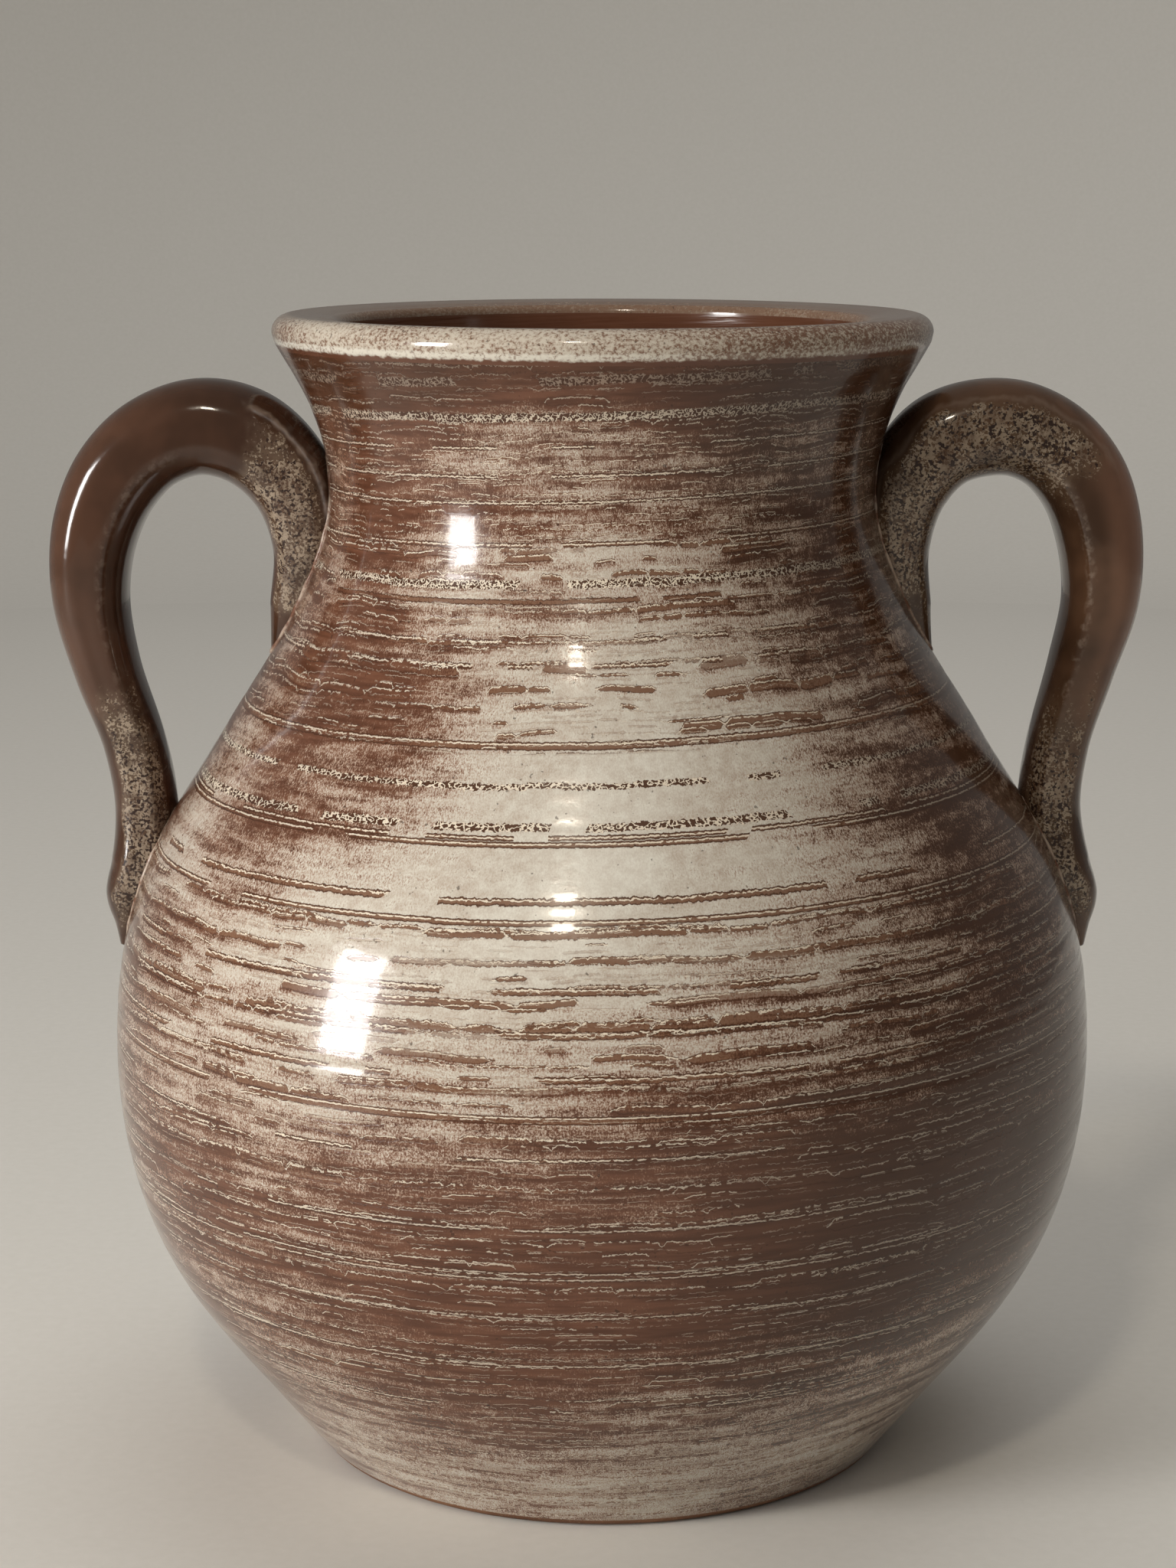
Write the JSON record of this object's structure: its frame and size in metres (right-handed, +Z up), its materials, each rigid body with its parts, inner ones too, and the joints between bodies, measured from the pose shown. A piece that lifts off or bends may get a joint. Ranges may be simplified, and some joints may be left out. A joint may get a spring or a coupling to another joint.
{
  "type": "two-handled ceramic jar",
  "caption": "Wide-bellied stoneware jar with a flared neck, a thick rolled rim and two ear-shaped loop handles, for standing on a flat surface.",
  "frame": {"origin": "centre of the foot, on the surface that the jar stands on", "axes": "+Z up along the jar's axis, +X towards the right-hand handle, -Y towards the viewer of the picture"},
  "size_m": [0.2756, 0.249, 0.2896],
  "materials": {
    "body_glaze": "glossy, pale glaze torn over brown along the wheel lines",
    "rim_glaze": "glossy, pale glaze with brown speckle",
    "handle_glaze": "glossy brown with mottled pale patches",
    "slip": "thin pale line of slip under glaze",
    "bare_clay": "unglazed, matte"
  },
  "bodies": {
    "root": {"base": "bare_clay", "lower_body": "body_glaze", "belly": "body_glaze", "upper_body": "body_glaze", "neck": "body_glaze", "rim": "rim_glaze", "handle_left": "handle_glaze", "slip_left_upper": "slip", "slip_left_lower": "slip", "handle_right": "handle_glaze", "slip_right_upper": "slip", "slip_right_lower": "slip"}
  },
  "joints": []
}
